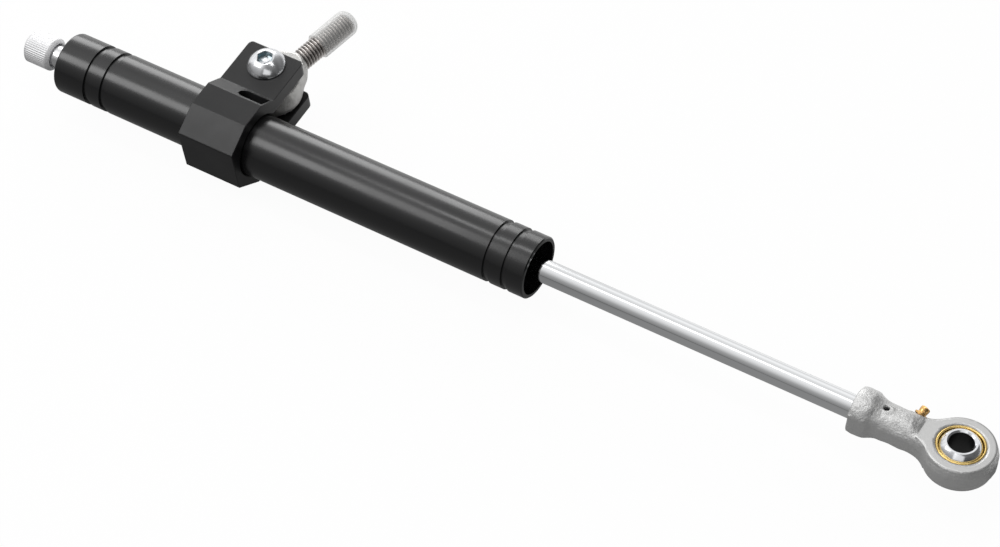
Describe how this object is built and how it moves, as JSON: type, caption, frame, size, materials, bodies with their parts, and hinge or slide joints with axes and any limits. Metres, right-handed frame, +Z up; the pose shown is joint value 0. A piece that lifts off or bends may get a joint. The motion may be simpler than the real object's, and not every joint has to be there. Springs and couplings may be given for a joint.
{
  "type": "motorcycle steering damper",
  "caption": "Telescopic steering damper: black cylinder with a turning adjuster knob, chromed rod with a spherical rod end, and a sliding clamp with a spherical stud.",
  "frame": {"origin": "centre of the ball in the rod's end", "axes": "+Z up along the bore of that ball, +X from the adjuster end of the cylinder to the rod's end, +Y towards the clamp's stud"},
  "size_m": [0.3713, 0.0779, 0.0356],
  "materials": {
    "black_cylinder": "black anodised, semi-gloss",
    "black_clamp": "black anodised over fine blasting, matt",
    "knob_aluminium": "turned, clear anodised",
    "rod_chrome": "ground and hard chromed",
    "forged_steel": "forged and zinc plated, faces machined",
    "stud_steel": "zinc plated, thread duller",
    "race_brass": "turned brass",
    "ball_steel": "ground and polished",
    "bolt_steel": "bright plated",
    "inner_aluminium": "turned",
    "inner_steel": "ground",
    "circlip_steel": "blackened spring steel",
    "bush_bronze": "sintered bronze",
    "band_plastic": "bronze-filled sliding plastic",
    "foam": "closed-cell foam",
    "seal_rubber": "smooth black rubber",
    "clear_plastic": "soft, milky clear"
  },
  "bodies": {
    "cylinder": {"cylinder_tube": "black_cylinder", "end_cap": "inner_aluminium", "end_cap_oring": "seal_rubber", "valve_body": "inner_aluminium", "check_disc": "inner_steel", "inner_tube": "inner_aluminium", "foam_sleeve": "foam", "rod_guide": "inner_aluminium", "guide_bush": "bush_bronze", "guide_oring": "seal_rubber", "rod_seal": "seal_rubber", "rod_wiper": "seal_rubber", "guide_circlip": "circlip_steel", "adjuster_sleeve": "knob_aluminium"},
    "knob": {"adjuster_knob": "knob_aluminium", "knob_screw": "bolt_steel", "adjuster_spindle": "inner_steel", "detent_ball": "inner_steel", "detent_spring": "inner_steel"},
    "needle": {"adjuster_needle": "race_brass", "needle_oring": "seal_rubber"},
    "piston_band": {"piston_band": "band_plastic", "cushion_washer": "seal_rubber"},
    "rod": {"piston_rod": "rod_chrome", "piston": "inner_aluminium", "piston_shims": "inner_steel", "piston_nut": "inner_steel", "rod_end_head": "forged_steel", "rod_end_race": "race_brass", "grease_nipple": "race_brass"},
    "rod_ball": {"rod_end_ball": "ball_steel"},
    "clamp": {"clamp_body": "black_clamp", "clamp_bolt": "bolt_steel"},
    "stud_ball": {"stud_ball": "ball_steel"},
    "stud": {"stud_head": "stud_steel", "stud_race": "race_brass"},
    "stud_cap": {"stud_cap": "clear_plastic"}
  },
  "joints": [
    {"name": "rod_stroke", "type": "slide", "parent": "cylinder", "child": "piston_band", "axis": [-1, 0, 0], "range_m": [0, 0.11]},
    {"name": "rod_spin", "type": "hinge", "parent": "piston_band", "child": "rod", "pos_m": [-0.1, 0, 0], "axis": [1, 0, 0], "continuous": true},
    {"name": "rod_ball_tilt", "type": "hinge", "parent": "rod", "child": "rod_ball", "pos_m": [0, 0, 0], "axis": [0, 1, 0], "range_deg": [-13, 13]},
    {"name": "knob_turn", "type": "hinge", "parent": "cylinder", "child": "knob", "pos_m": [-0.35, 0, 0], "axis": [1, 0, 0], "range_deg": [0, 900]},
    {"name": "needle_feed", "type": "slide", "parent": "knob", "child": "needle", "axis": [1, 0, 0], "range_m": [0, 0.0019]},
    {"name": "clamp_slide", "type": "slide", "parent": "cylinder", "child": "clamp", "axis": [1, 0, 0], "range_m": [-0.036, 0.094]},
    {"name": "stud_swing", "type": "hinge", "parent": "clamp", "child": "stud_ball", "pos_m": [-0.2727, 0.02348, 0.00389], "axis": [0, -0.1633, 0.9866], "range_deg": [-72, 98]},
    {"name": "stud_tilt", "type": "hinge", "parent": "stud_ball", "child": "stud", "pos_m": [-0.2727, 0.02348, 0.00389], "axis": [0.9752, -0.2186, -0.0362], "range_deg": [-7, 7]},
    {"name": "cap_pull", "type": "slide", "parent": "stud", "child": "stud_cap", "axis": [0.2215, 0.9621, 0.1593], "range_m": [0, 0.02]}
  ],
  "couplings": [
    {"joint": "needle_feed", "follows": "knob_turn", "m_per_rad": 0.00011937}
  ]
}
